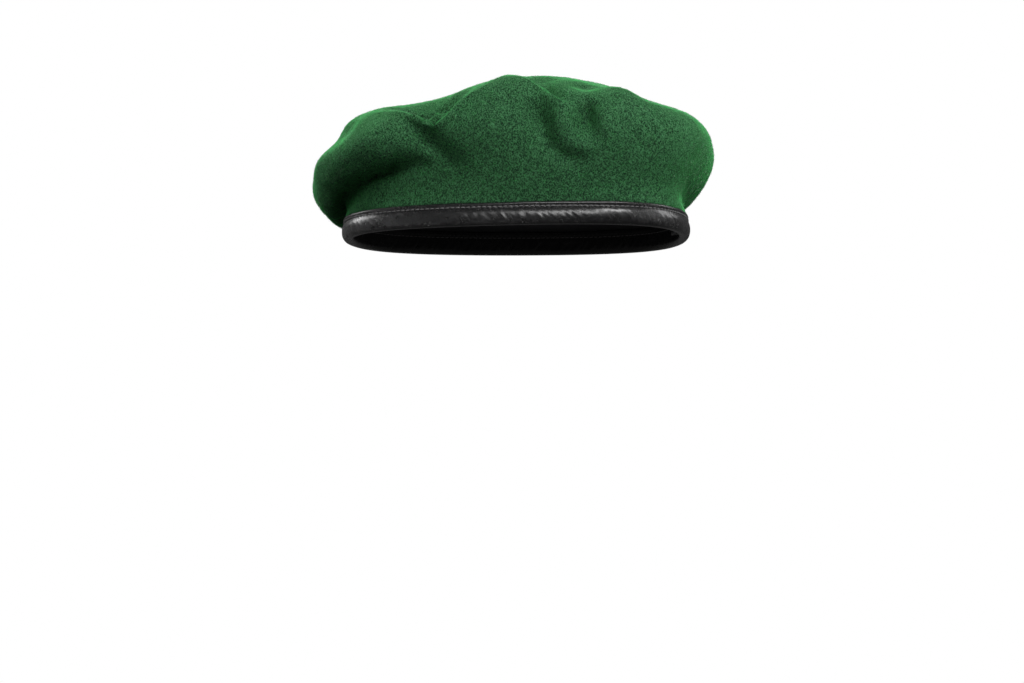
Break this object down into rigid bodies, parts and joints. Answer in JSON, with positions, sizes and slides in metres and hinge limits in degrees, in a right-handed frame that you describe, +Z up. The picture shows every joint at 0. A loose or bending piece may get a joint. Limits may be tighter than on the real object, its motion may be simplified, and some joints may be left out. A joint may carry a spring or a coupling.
{
  "type": "beret",
  "caption": "Soft wool felt beret with a leather-bound head opening, a lining and its crown pulled down to the wearer's right.",
  "frame": {"origin": "centre of the head opening, in the plane of the leather binding's foot", "axes": "+Z up out of the crown, -Y the way the wearer faces, +X to the wearer's left"},
  "size_m": [0.2129, 0.247, 0.0992],
  "materials": {
    "felt": "brushed wool felt",
    "leather": "semi-gloss black",
    "satin": "satin weave",
    "tape": "plain woven tape",
    "thread": "waxed twisted thread",
    "vinyl": "clear-coated vinyl",
    "label": "woven label",
    "blackened_metal": "black oxide"
  },
  "bodies": {
    "root": {"felt_crown": "felt", "leather_binding": "leather", "needle_thread": "thread", "bobbin_thread": "thread", "draw_tape": "tape", "draw_tape_knot": "tape", "lining_side_left": "satin", "lining_side_right": "satin", "lining_tip": "satin", "sweat_guard": "vinyl", "size_label": "label", "care_label": "label", "eyelet_rear": "blackened_metal", "eyelet_washer_rear": "blackened_metal", "eyelet_front": "blackened_metal", "eyelet_washer_front": "blackened_metal"}
  },
  "joints": []
}
